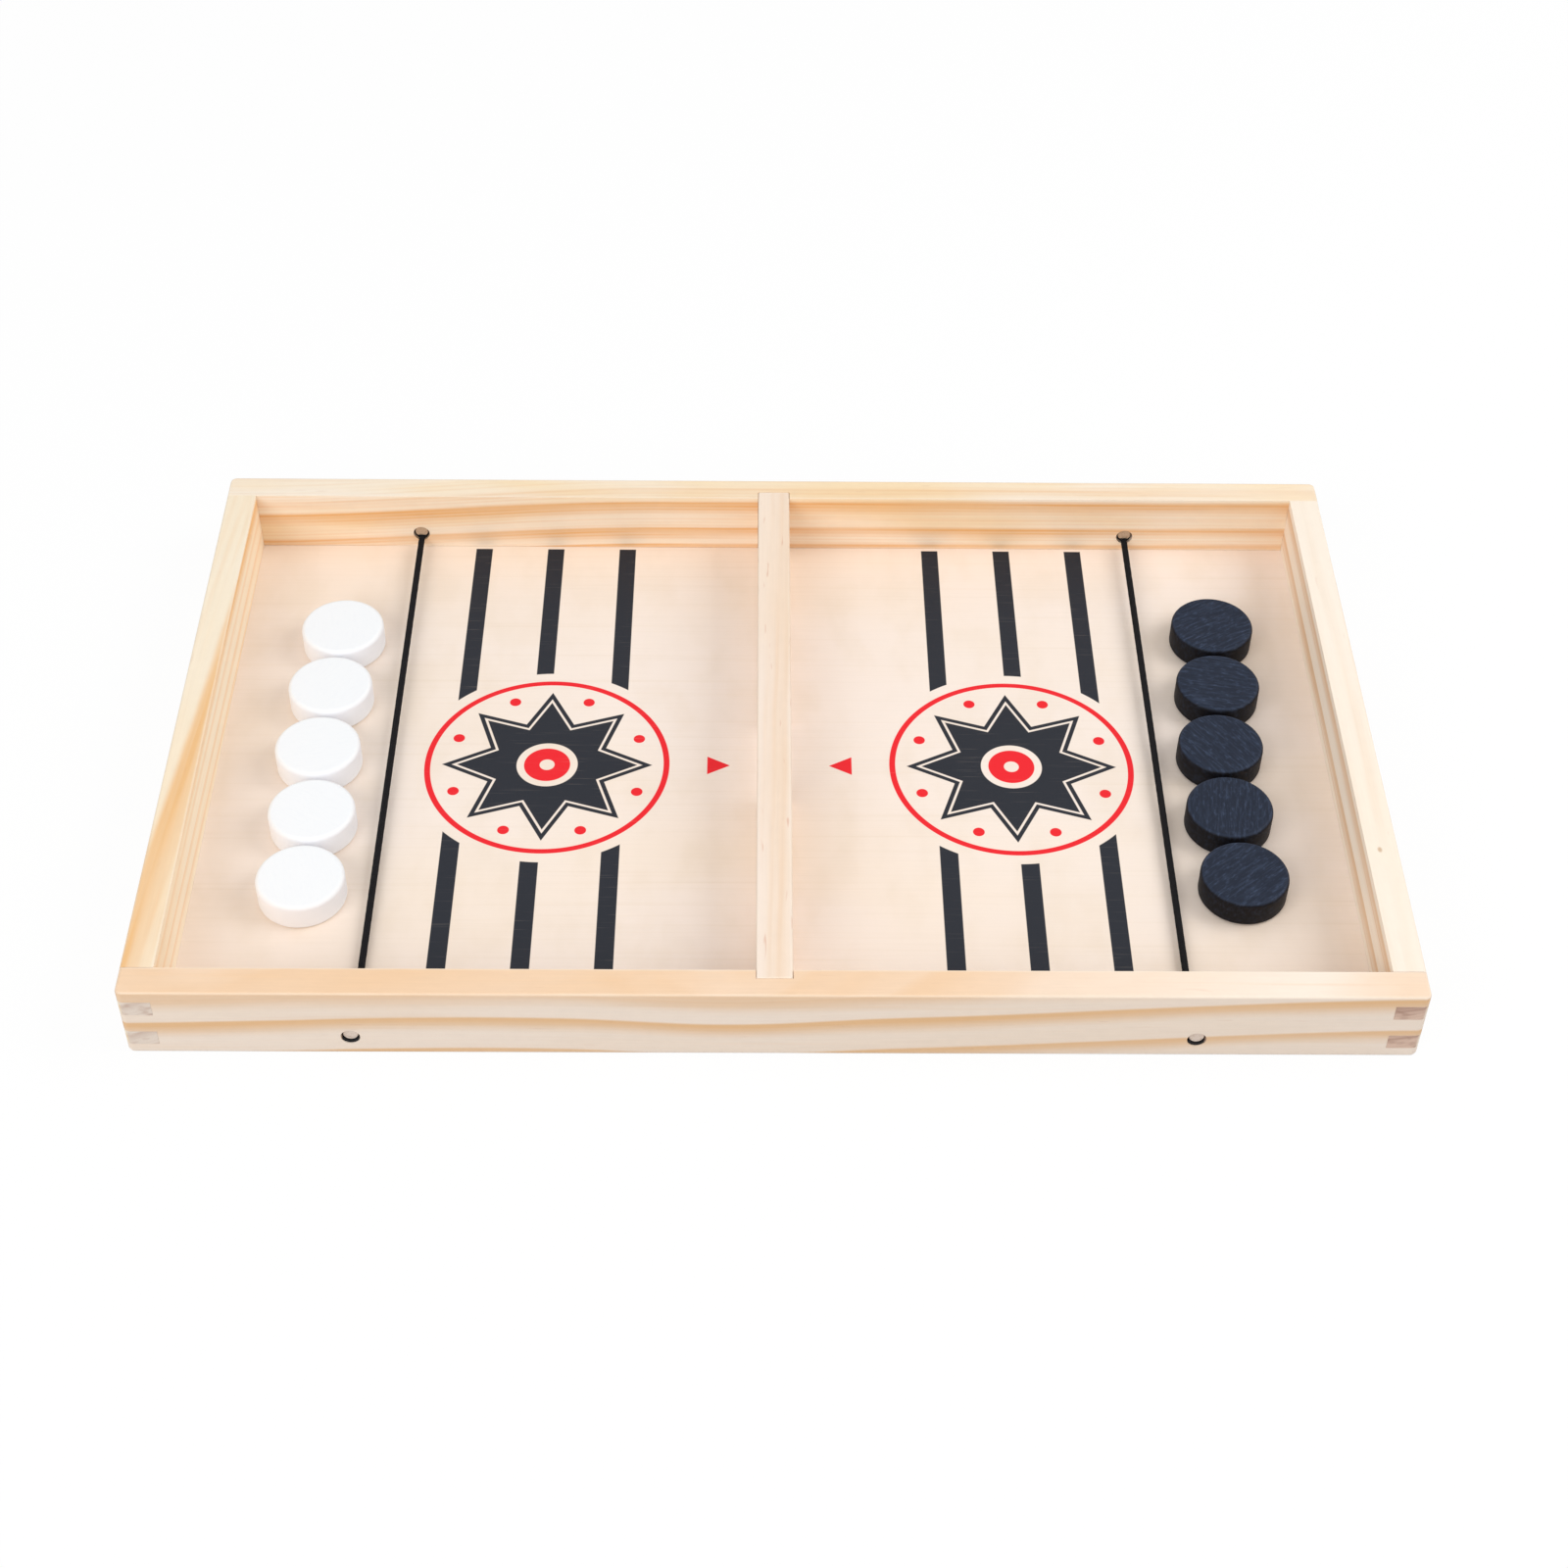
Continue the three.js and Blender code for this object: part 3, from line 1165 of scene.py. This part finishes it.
@dataclass
class Divider:
    """The gated divider, of a whiter wood than the rails."""

    easing: float = 0.3 * MM
    finish: SawnWood = SawnWood(
        "divider",
        Grain.ACROSS_TRAY,
        rings((27, 6, 0.5), (17, 5, 0.5), (9, 4, 0.5)),
        species="basswood",
        lean=math.radians(25),
        climb=0.01,
        wander=0.8 * MM,
        seed=15.6,
        pale="#FCEDE0",
        warm="#FBE7D2",
        band="#F1D2B3",
        cut_end="#F0DDCD",
        fleck="#D9A083",
        fleck_share=0.5,
        warm_share=0.8,
    )

    def build(self) -> None:
        """Makes the divider and stands it on the board."""
        piece = CarvedWood("divider", "gated_divider", self.easing).build()
        dress(piece, self.finish.material(*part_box("divider")), "divider_wood", "divider")
        fix(piece)


# Pieces grown by Geometry Nodes


class Grower(Tree):
    """A geometry node tree with named inputs, run on a simple mesh to make a plain one."""

    def __init__(self, name: str, sizes: dict[str, float]) -> None:
        """Starts a tree.

        Args:
            name: The tree's name.
            sizes: The usual value of each named size, a whole one where it counts something.
        """
        super().__init__(bpy.data.node_groups.new(name, "GeometryNodeTree"))
        self.identifiers: dict[str, str] = {}
        self.take("Geometry", "NodeSocketGeometry")
        self.take("Material", "NodeSocketMaterial")
        for label, usual in sizes.items():
            kind = "NodeSocketInt" if isinstance(usual, int) else "NodeSocketFloat"
            self.take(label, kind).default_value = usual
        self.tree.interface.new_socket("Geometry", in_out="OUTPUT", socket_type="NodeSocketGeometry")
        self.source = self.node("NodeGroupInput")
        self.start = self.source.outputs["Geometry"]

    def take(self, label: str, kind: str) -> bpy.types.NodeTreeInterfaceSocket:
        """Adds a named input to the tree.

        Args:
            label: Its name.
            kind: Its type.

        Returns:
            The input.
        """
        socket = self.tree.interface.new_socket(label, in_out="INPUT", socket_type=kind)
        self.identifiers[label] = socket.identifier
        return socket

    def given(self, label: str) -> Value:
        """Gives one of the tree's named inputs."""
        return Value(self, self.source.outputs[label])

    def end(self, geometry: Socket) -> Grower:
        """Smooths and realizes what the tree has made, gives it its material and ends the tree.

        Args:
            geometry: What the tree has made.

        Returns:
            The tree.
        """
        smooth = self.out("GeometryNodeSetShadeSmooth", {"Geometry": geometry, "Shade Smooth": True})
        real = self.out("GeometryNodeRealizeInstances", {"Geometry": smooth})
        sockets = {"Geometry": real, "Material": self.source.outputs["Material"]}
        self.node("NodeGroupOutput", {"Geometry": self.out("GeometryNodeSetMaterial", sockets)})
        return self

    def grow(self, name: str, seed_mesh: bpy.types.Mesh, values: dict[str, Any]) -> Piece:
        """Runs the tree on a mesh.

        Args:
            name: The new piece's name.
            seed_mesh: The mesh that the tree starts from.
            values: The tree's inputs, by label.

        Returns:
            The piece, as a plain mesh.
        """
        thing = add_object(name, seed_mesh)
        modifier = thing.modifiers.new("grow", "NODES")
        modifier.node_group = self.tree
        for label, value in values.items():
            modifier[self.identifiers[label]] = value
        return settle(thing)


def lathe_tree() -> Grower:
    """Builds the tree that turns a half outline into a solid of revolution.

    Returns:
        A tree that starts from a line of points in the XZ plane, from the axis to the axis.
    """
    wavers = Pattern((160, 160, 160), 1.0)
    hub = 1 * MM
    sizes = {"Sides": 96, "Grain Angle": 0.0, "Unevenness": 0.05 * MM, "Seed": 0.0}
    tree = Grower("turned_on_a_lathe", sizes)
    sides, turn, unevenness, seed = (tree.given(label) for label in sizes)
    domain = tree.node("GeometryNodeAttributeDomainSize", {"Geometry": tree.start}, component="MESH")
    points = Value(tree, domain.outputs["Point Count"])
    shape = {"Size X": 1.0, "Size Y": 1.0, "Vertices X": sides + 1, "Vertices Y": points}
    grid = tree.out("GeometryNodeMeshGrid", shape)
    index = Value(tree, tree.out("GeometryNodeInputIndex"))
    position = tree.out("GeometryNodeInputPosition")
    vectors = {"data_type": "FLOAT_VECTOR", "domain": "POINT"}
    sample = {"Geometry": tree.start, "Value": position, "Index": index % points}
    reach, _, height = tree.parts(tree.out("GeometryNodeSampleIndex", sample, **vectors))
    angle = (index / points).floor() / sides * TURN
    spun = tree.vector(reach * angle.cosine(), reach * angle.sine(), height)
    turned = tree.out("GeometryNodeSetPosition", {"Geometry": grid, "Position": spun})
    welded = tree.out("GeometryNodeMergeByDistance", {"Geometry": turned, "Distance": WELD})
    x, y, z = tree.parts(position)
    away = (x * x + y * y).root()
    push = (wavers.read(tree, (x, y, z), seed) - 0.5) * unevenness / away.most(hub)
    offset = tree.vector(x * push, y * push, 0.0)
    uneven = tree.out("GeometryNodeSetPosition", {"Geometry": welded, "Offset": offset})
    along = x * turn.cosine() + y * turn.sine()
    across = y * turn.cosine() - x * turn.sine()
    grain = {"Geometry": uneven, "Name": "grain", "Value": tree.vector(along, across, z + seed)}
    return tree.end(tree.out("GeometryNodeStoreNamedAttribute", grain, **vectors))


def tube(tree: Grower, path: Socket, radius: Number, corners: int) -> Socket:
    """Sweeps a circle along curves.

    Args:
        tree: The tree.
        path: The curves.
        radius: The circle's radius.
        corners: How many points it has.

    Returns:
        Capped tubes.
    """
    circle = {"Resolution": corners, "Radius": radius}
    section = tree.out("GeometryNodeCurvePrimitiveCircle", circle, mode="RADIUS")
    return tree.out("GeometryNodeCurveToMesh", {"Curve": path, "Profile Curve": section, "Fill Caps": True})


def braid_tree() -> Grower:
    """Builds the tree that braids a sheath round a core, along a line of points.

    Returns:
        A tree whose strands cross over and under each other, half of them each way round.
    """
    strand_corners = 4
    core_corners = 12
    weave_share = 0.5
    sizes = {
        "Cord Radius": 0.85 * MM,
        "Strand Radius": 0.15 * MM,
        "Strands Each Way": 6,
        "Lay Length": 5 * MM,
        "Step": 0.25 * MM,
    }
    tree = Grower("braided_sheath", sizes)
    cord_radius, strand_radius, strands, lay_length, step = (tree.given(label) for label in sizes)
    weave = strand_radius * weave_share
    lay = cord_radius - strand_radius - weave
    path = tree.out("GeometryNodeMeshToCurve", {"Mesh": tree.start})
    fine = tree.out("GeometryNodeResampleCurve", {"Curve": path, "Length": step}, mode="LENGTH")
    run = Value(tree, tree.node("GeometryNodeSplineParameter").outputs["Length"])
    tangent = tree.out("GeometryNodeInputTangent")
    side = tree.vector_math("CROSS_PRODUCT", {0: tangent, 1: (0.0, 0.0, 1.0)})
    side = tree.vector_math("NORMALIZE", {0: side})
    rise = tree.vector_math("CROSS_PRODUCT", {0: side, 1: tangent})
    around = run / lay_length * TURN
    sheath = tree.node("GeometryNodeJoinGeometry")
    for way in (1.0, -1.0):
        amount = {"Geometry": fine, "Amount": strands}
        copies = tree.node("GeometryNodeDuplicateElements", amount, domain="SPLINE")
        number = Value(tree, copies.outputs["Duplicate Index"])
        angle = around * way + number / strands * TURN
        out = lay + weave * way * (around * strands).cosine()
        swing = tree.vector_math("SCALE", {0: side, "Scale": out * angle.cosine()})
        lift = tree.vector_math("SCALE", {0: rise, "Scale": out * angle.sine()})
        offset = tree.vector_math("ADD", {0: swing, 1: lift})
        wound = tree.out("GeometryNodeSetPosition", {"Geometry": copies.outputs[0], "Offset": offset})
        tree.feed(sheath.inputs[0], tube(tree, wound, strand_radius, strand_corners))
    tree.feed(sheath.inputs[0], tube(tree, path, lay, core_corners))
    return tree.end(sheath.outputs[0])


@dataclass
class Cord:
    """One elastic cord, whose free stretch bends at its middle."""

    side: str
    braid: Grower
    material: Material
    bend: float = 6 * MM
    swell: float = 1.05
    decimals: int = 6

    def node(self, part: str) -> str:
        """Gives the name of one of the cord's solids, such as its front half."""
        return f"{self.side}_cord_{part}"

    def radius(self, part: str) -> float:
        """Finds the cord's radius from how wide a solid is."""
        low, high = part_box(self.node(part))
        return (high.x - low.x) / 2

    def ends(self, part: str) -> list[Vector]:
        """Finds the ends of a solid's centre line.

        Args:
            part: The solid, such as the front half.

        Returns:
            Its front end and its back end.
        """
        corners = [v.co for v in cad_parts[self.node(part)].data.vertices]
        radius = self.radius(part)
        found = []
        for pick in (min, max):
            limit = pick(c.y for c in corners)
            rim = {tuple(round(p, self.decimals) for p in c) for c in corners if abs(c.y - limit) < radius}
            found.append(sum((Vector(c) for c in rim), Vector()) / len(rim))
        return found

    def build(self) -> None:
        """Braids the free stretch along the line of the cord's two halves."""
        front = self.ends("front_half")
        back = self.ends("back_half")
        middle = (front[1] + back[0]) / 2
        name = f"{self.side}_cord_free_stretch"
        values = {"Cord Radius": self.radius("front_half") * self.swell, "Material": self.material}
        free = self.braid.grow(name, polyline(name, [front[0], middle, back[1]]), values)
        dress(free, self.material, "elastic_cord", self.node("front_half"), self.node("back_half"))
        self.node("front")
        self.node("back")
        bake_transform(free)
        report(free, f"{self.node('front')} and {self.node('back')}")


@dataclass
class CordAnchor:
    """One drilled hole's filling: a dowel driven in over the end of the cord, which it squeezes flat."""

    side: str
    rail: str
    sheath: Material
    dowel: Material
    peg_radius: float = 2.05 * MM
    peg_inset: float = 0.35 * MM
    peg_chamfer: float = 0.15 * MM
    hole_play: float = 0.06 * MM
    squeeze_run: float = 1.4 * MM
    crescent_reach: float = math.radians(68)
    points: int = 24
    sections: int = 12

    @property
    def outward(self) -> float:
        """Gives the way out of the tray: -1 through the front rail and 1 through the back rail."""
        return -1.0 if self.rail == "front" else 1.0

    def reach(self, node: str) -> tuple[float, float]:
        """Finds the places along Y of the outer end and the inner end of a solid in the hole."""
        low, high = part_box(node)
        return (low.y, high.y) if self.rail == "front" else (high.y, low.y)

    def hole(self) -> tuple[Vector, float]:
        """Finds the hole from its peg's solid.

        Returns:
            Its centre and its radius.
        """
        low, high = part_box(f"{self.side}_{self.rail}_peg")
        radius = (high.x - low.x) / 2
        return Vector(((low.x + high.x) / 2, 0, high.z - radius)), radius

    def peg(self) -> Piece:
        """Turns the dowel, which sits high in the hole with its rims broken.

        Returns:
            The dowel.
        """
        outer, inner = self.reach(f"{self.side}_{self.rail}_peg")
        centre, radius = self.hole()
        centre.z += radius - self.peg_radius - self.hole_play
        head = outer - self.outward * self.peg_inset
        chamfer = self.outward * self.peg_chamfer
        small = self.peg_radius - self.peg_chamfer
        steps = [
            (head, small),
            (head - chamfer, self.peg_radius),
            (inner + chamfer, self.peg_radius),
            (inner, small),
        ]
        turn = [TURN * i / self.points for i in range(self.points)]
        sections = [[on_circle(centre, radius, angle, y) for angle in turn] for y, radius in steps]
        return lofted(f"{self.side}_{self.rail}_dowel", sections)

    def squeezed(self, start: Vector, radius: float, share: float, y: float) -> list[Vector]:
        """Draws the cord's section where it has gone some way from round to a crescent.

        Args:
            start: The centre of the round cord.
            radius: Its radius.
            share: How far it has been squeezed, from nought to one.
            y: The section's place.

        Returns:
            Points round the section, from the crescent's left tip.
        """
        centre, hole_radius = self.hole()
        lifted = centre + Vector((0, 0, hole_radius - self.peg_radius - self.hole_play))
        half = self.points // 2
        section = []
        for i in range(self.points):
            under = i < half
            part = i / half if under else 2 - i / half
            angle = self.crescent_reach * (2 * part - 1) - TURN / 4
            if under:
                flat = on_circle(centre, hole_radius - self.hole_play, angle, y)
            else:
                flat = on_circle(lifted, self.peg_radius + self.hole_play, angle, y)
            whole = on_circle(start, radius, TURN / 2 + TURN / 2 * i / half, y)
            section.append(whole.lerp(flat, share))
        return section

    def cord_end(self) -> Piece:
        """Lays the end of the cord through the hole, flattened under the dowel.

        Returns:
            The cord's end.
        """
        node = f"{self.side}_cord_{self.rail}_anchor"
        tip, mouth = self.reach(node)
        low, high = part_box(node)
        radius = (high.x - low.x) / 2
        sections = []
        for number in range(self.sections + 1):
            run = abs(tip - mouth) * number / self.sections
            share = min(run / self.squeeze_run, 1.0)
            eased = share * share * (3 - 2 * share)
            sections.append(self.squeezed((low + high) / 2, radius, eased, mouth + self.outward * run))
        return lofted(f"{self.side}_cord_{self.rail}_end", sections)

    def build(self) -> None:
        """Makes the dowel and the cord's end and fixes both in the rail."""
        peg = self.peg()
        dress(peg, self.dowel, "peg_wood", f"{self.side}_{self.rail}_peg")
        end = self.cord_end()
        dress(end, self.sheath, "elastic_cord", f"{self.side}_cord_{self.rail}_anchor")
        fix(peg)
        fix(end)


@dataclass
class PuckRow:
    """Five pucks of one colour, turned alike but each with its own grain."""

    tint: str
    lathe: Grower
    finish: PaintedWood
    count: int = 5
    sides: int = 128
    rim: float = 1.3 * MM
    rim_steps: int = 8
    hold: float = 0.35 * MM
    unevenness: float = 0.12 * MM
    first_seed: float = 1.0
    grain_turn: float = 2.4

    def outline(self, radius: float, thick: float) -> list[Vector]:
        """Draws half a puck's section, from the axis underneath to the axis on top.

        Args:
            radius: The puck's radius.
            thick: Its thickness.

        Returns:
            Points in the XZ plane.
        """
        core = radius - self.rim
        points = [Vector((0, 0, 0)), Vector((core - self.hold, 0, 0))]
        for height, start in ((self.rim, -TURN / 4), (thick - self.rim, 0.0)):
            for step in range(self.rim_steps + 1):
                angle = start + TURN / 4 * step / self.rim_steps
                points.append(on_circle(Vector((core, 0, height)), self.rim, angle, 0.0))
        return points + [Vector((core - self.hold, 0, thick)), Vector((0, 0, thick))]

    def build(self) -> None:
        """Turns the five pucks and lays each where its solid is."""
        material = self.finish.material()
        for number in range(1, self.count + 1):
            node = f"{self.tint}_puck_{number}"
            low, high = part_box(node)
            radius = (high.x - low.x) / 2 - self.unevenness / 2
            seed = self.first_seed + number
            values = {
                "Sides": self.sides,
                "Grain Angle": seed * self.grain_turn,
                "Unevenness": self.unevenness,
                "Seed": seed,
                "Material": material,
            }
            outline = polyline(node, self.outline(radius, high.z - low.z))
            piece = self.lathe.grow(f"turned_{node}", outline, values)
            centre = (low + high) / 2
            piece.data.transform(Matrix.Translation((centre.x, centre.y, low.z)))
            dress(piece, material, f"puck_{self.tint}", node)
            fix(piece, node)


# Studio


@dataclass
class PhotoCamera:
    """The camera, where the photograph was taken from."""

    place: Point = (-4.7 * MM, -556.7 * MM, 551.9 * MM)
    tilt: float = math.radians(44.976)
    yaw: float = math.radians(-0.807)
    roll: float = math.radians(0.818)
    lens: float = 60.73
    sensor: float = 36.0
    nearest: float = 10 * MM
    farthest: float = 20.0

    def build(self) -> None:
        """Adds the camera and makes it the scene's own."""
        data = bpy.data.cameras.new("photo_camera")
        data.lens = self.lens
        data.sensor_width = self.sensor
        data.clip_start = self.nearest
        data.clip_end = self.farthest
        camera = bpy.data.objects.new("photo_camera", data)
        bpy.context.scene.collection.objects.link(camera)
        turns = ((self.yaw, "Z"), (self.tilt, "X"), (self.roll, "Z"))
        yaw, tilt, roll = (Matrix.Rotation(angle, 4, axis) for angle, axis in turns)
        camera.matrix_world = Matrix.Translation(self.place) @ (yaw @ tilt @ roll)
        bpy.context.scene.camera = camera


@dataclass(frozen=True)
class SoftBox:
    """A square studio light that faces the tray."""

    name: str
    place: Point
    size: float
    power: float

    def build(self) -> None:
        """Hangs the light."""
        data = bpy.data.lights.new(self.name, "AREA")
        data.shape = "SQUARE"
        data.size = self.size
        data.energy = self.power
        light = bpy.data.objects.new(self.name, data)
        bpy.context.scene.collection.objects.link(light)
        light.location = self.place
        light.rotation_euler = (-Vector(self.place)).to_track_quat("-Z", "Y").to_euler()


@dataclass
class Studio:
    """A white floor, a white surround, and soft lights on the right and in front on the left."""

    floor_size: float = 6.0
    floor_drop: float = 0.02 * MM
    floor_colour: str = "#BCBCBC"
    floor_share: float = 0.13
    white: str = "#FFFFFF"
    surround: float = 0.592
    lights: tuple[SoftBox, ...] = (
        SoftBox("key_light", place=(1.0, 0.0, 0.9), size=0.8, power=6.5),
        SoftBox("front_light", place=(-0.72, -0.96, 0.85), size=0.9, power=7.8),
    )

    def seen(self, tree: Tree) -> Value:
        """Finds the rays that should meet a white background: those of the camera, gloss and glass.

        Args:
            tree: The tree that asks.

        Returns:
            One on such a ray and nought on any other.
        """
        path = tree.node("ShaderNodeLightPath")
        names = ("Is Camera Ray", "Is Glossy Ray", "Is Transmission Ray")
        camera, gloss, through = (Value(tree, path.outputs[name]) for name in names)
        return camera.most(gloss).most(through)

    def floor(self) -> None:
        """Lays the floor, which shows nearly white and keeps the tray's shadow."""
        half = self.floor_size / 2
        mesh = bpy.data.meshes.new("studio_floor")
        corners = [(-half, -half), (half, -half), (half, half), (-half, half)]
        mesh.from_pydata([(x, y, -self.floor_drop) for x, y in corners], [], [(0, 1, 2, 3)])
        floor = add_object("studio_floor", mesh)
        tree = Surface("studio_floor")
        matte = tree.out("ShaderNodeBsdfDiffuse", {"Color": colour(self.floor_colour)})
        own = 1 - self.floor_share * colour(self.floor_colour)[0]
        strength = own / (1 - self.floor_share)
        glow = tree.out("ShaderNodeEmission", {"Color": colour(self.white), "Strength": strength})
        share = self.seen(tree) * (1 - self.floor_share)
        both = tree.out("ShaderNodeMixShader", {0: share, 1: matte, 2: glow})
        tree.feed(tree.output.inputs["Surface"], both)
        floor.data.materials.append(tree.material)

    def world(self) -> None:
        """Makes the surround: white to look at, gentler as a light."""
        world = bpy.data.worlds.new("studio_surround")
        world.use_nodes = True
        bpy.context.scene.world = world
        tree = Tree(world.node_tree)
        tree.tree.nodes.clear()
        strength = self.surround + self.seen(tree) * (1 - self.surround)
        sky = tree.out("ShaderNodeBackground", {"Color": colour(self.white), "Strength": strength})
        tree.node("ShaderNodeOutputWorld", {"Surface": sky})

    def build(self) -> None:
        """Sets up the floor, the surround, the lights and the plain view."""
        self.floor()
        self.world()
        for light in self.lights:
            light.build()
        bpy.context.scene.view_settings.view_transform = "Standard"


def main() -> None:
    """Builds the camera, the studio and every piece."""
    logging.basicConfig(level=logging.INFO, format="%(name)s: %(message)s")
    PhotoCamera().build()
    Studio().build()
    Tray().build()
    PlayingBoard().build()
    Divider().build()
    braid = braid_tree()
    sheath = ElasticSheath().material()
    dowels = {
        "front": DowelEnd("front_dowel", pale="#F3E2D4", dark="#C2A48F").material(),
        # The same finish as the front dowels, coloured darker as painted shade
        "back": DowelEnd("back_dowel_painted_shade", pale="#CDB094", dark="#80634C").material(),
    }
    for side in ("left", "right"):
        Cord(side, braid, sheath).build()
        for rail, dowel in dowels.items():
            CordAnchor(side, rail, sheath, dowel).build()
    lathe = lathe_tree()
    white = PaintedWood(
        "white_paint",
        top="#FBFDFF",
        side="#F8F9FD",
        mottle="#ECEFF6",
        mottle_share=0.15,
        # Painted highlight round the rim
        rim="#FEFFFF",
        rim_highlight_share=0.3,
        rough=0.5,
        shine=0.25,
    )
    black = PaintedWood(
        "black_stain",
        top="#1E2534",
        side="#0E0C10",
        mottle="#4A5872",
        mottle_share=0.5,
        # Painted highlight round the rim
        rim="#3C485E",
        rim_highlight_share=0.2,
        rough=0.55,
        shine=0.15,
    )
    PuckRow("white", lathe, white).build()
    PuckRow("black", lathe, black, first_seed=11.0).build()


if __name__ == "__main__":
    main()
